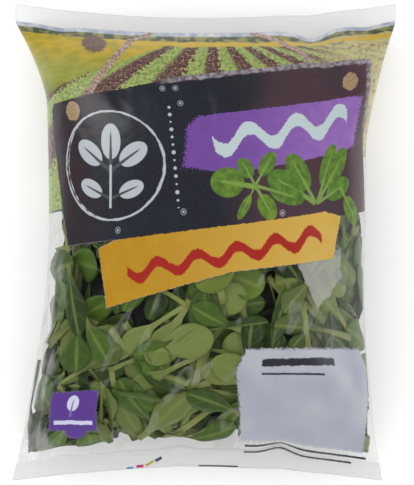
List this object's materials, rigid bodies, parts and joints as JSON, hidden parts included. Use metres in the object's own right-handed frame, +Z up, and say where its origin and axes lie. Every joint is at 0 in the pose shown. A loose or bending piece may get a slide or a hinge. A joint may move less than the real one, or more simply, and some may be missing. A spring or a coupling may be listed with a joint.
{
  "type": "bag of salad leaves",
  "caption": "Sealed clear pillow bag of loose green salad leaves, flat welded seal at each end and a bare-label printed front, lying on its back.",
  "frame": {"origin": "middle of the lying bag's outline, on the surface that it lies on", "axes": "+Z up from the printed front, +Y towards the top seal, +X to the right of the front"},
  "size_m": [0.26, 0.326, 0.0911],
  "materials": {
    "film": "clear glossy packing film with printed areas, over green leaves",
    "leaves": "soft green lamb's lettuce leaves, pale underneath, with a low sheen"
  },
  "bodies": {
    "root": {"salad_bag": "film"}
  },
  "joints": []
}
